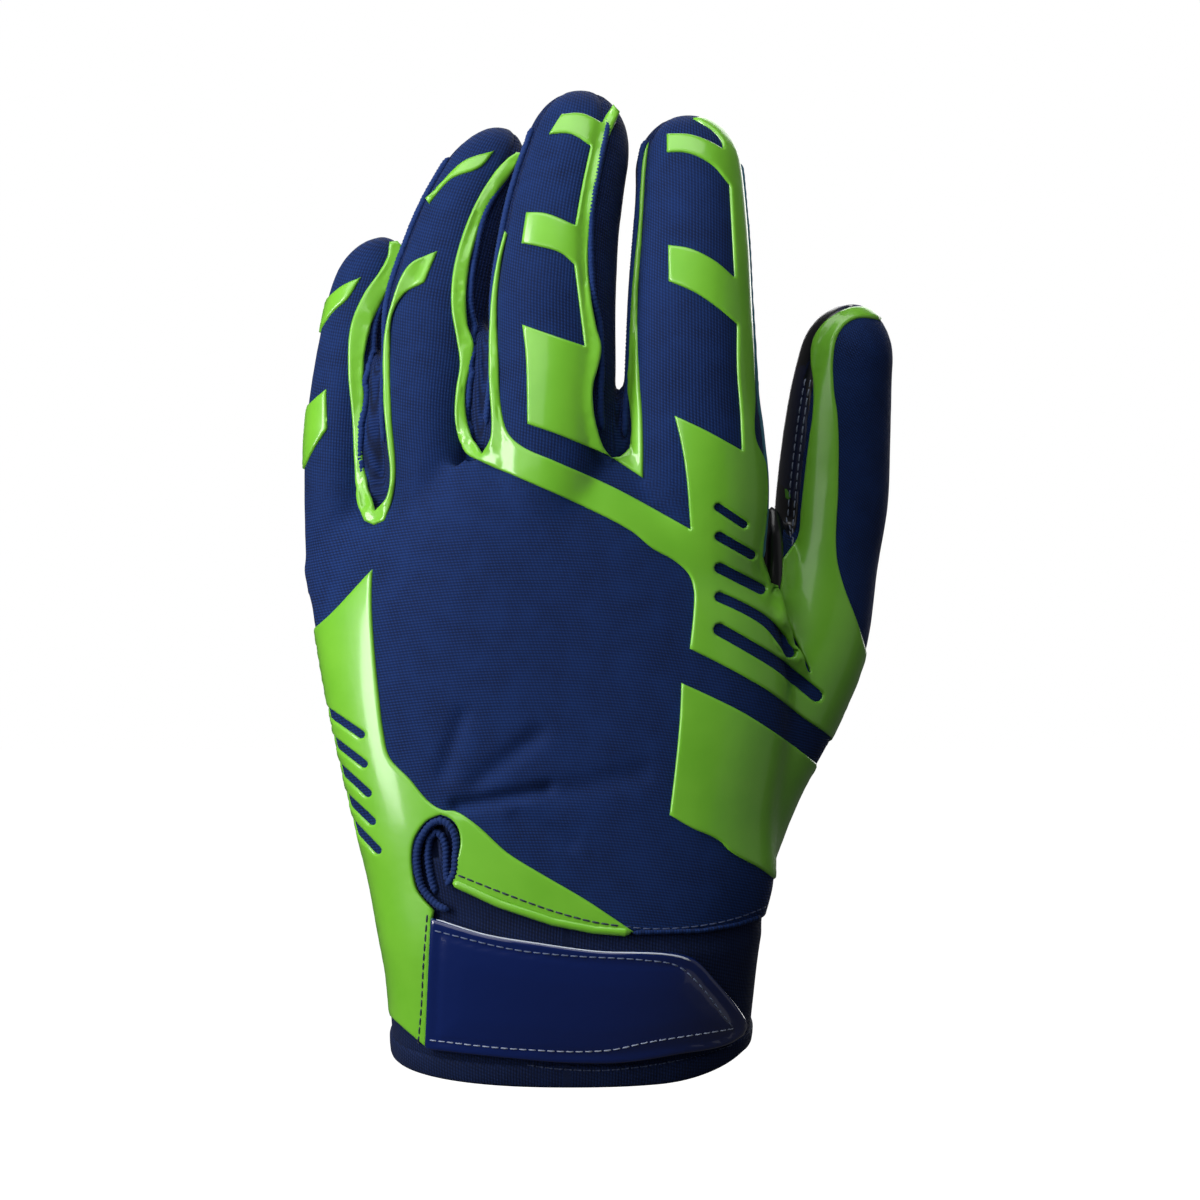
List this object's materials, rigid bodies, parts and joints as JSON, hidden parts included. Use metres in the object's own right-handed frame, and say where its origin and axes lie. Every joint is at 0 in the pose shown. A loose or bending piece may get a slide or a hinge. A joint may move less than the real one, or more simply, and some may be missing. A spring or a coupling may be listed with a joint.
{
  "type": "sports glove",
  "caption": "Left-hand receiver glove, filled out as worn: knit back with raised gel film, grip palm, knit side walls between the fingers, ribbed cuff, bound wrist vent and a closure strap.",
  "frame": {"origin": "middle of the wrist opening, where the hand goes in", "axes": "+Z towards the fingertips, -Y out of the back of the hand, +X towards the thumb"},
  "size_m": [0.1279, 0.0545, 0.2134],
  "materials": {
    "knit_navy": "ribbed stretch knit, matt",
    "side_knit": "fine ribbed knit, matt",
    "gel_green": "glossy raised gel film",
    "palm_grip": "glossy grip coating on synthetic cloth",
    "cuff_rib": "ribbed elastic",
    "strap_patent": "patent gloss",
    "strap_hook": "hook tape",
    "binding_navy": "woven binding"
  },
  "bodies": {
    "root": {"back_panel": "knit_navy", "thumb_back": "knit_navy", "palm_panel": "palm_grip", "fourchette_ring_little": "side_knit", "fourchette_middle_ring": "side_knit", "fourchette_index_middle": "side_knit", "film_little_upper": "gel_green", "film_little_lower": "gel_green", "film_little_band": "gel_green", "film_little_ring": "gel_green", "film_ring_upper": "gel_green", "film_ring_lower": "gel_green", "film_ring_band": "gel_green", "film_middle": "gel_green", "film_index_left": "gel_green", "film_web": "gel_green", "film_heel": "gel_green", "film_outer_edge": "gel_green", "film_thumb": "gel_green", "vent_binding": "binding_navy", "vent_gusset": "side_knit", "cuff_band": "cuff_rib", "hem_binding": "binding_navy", "hook_backing": "strap_hook", "closure_strap": "strap_patent"}
  },
  "joints": []
}
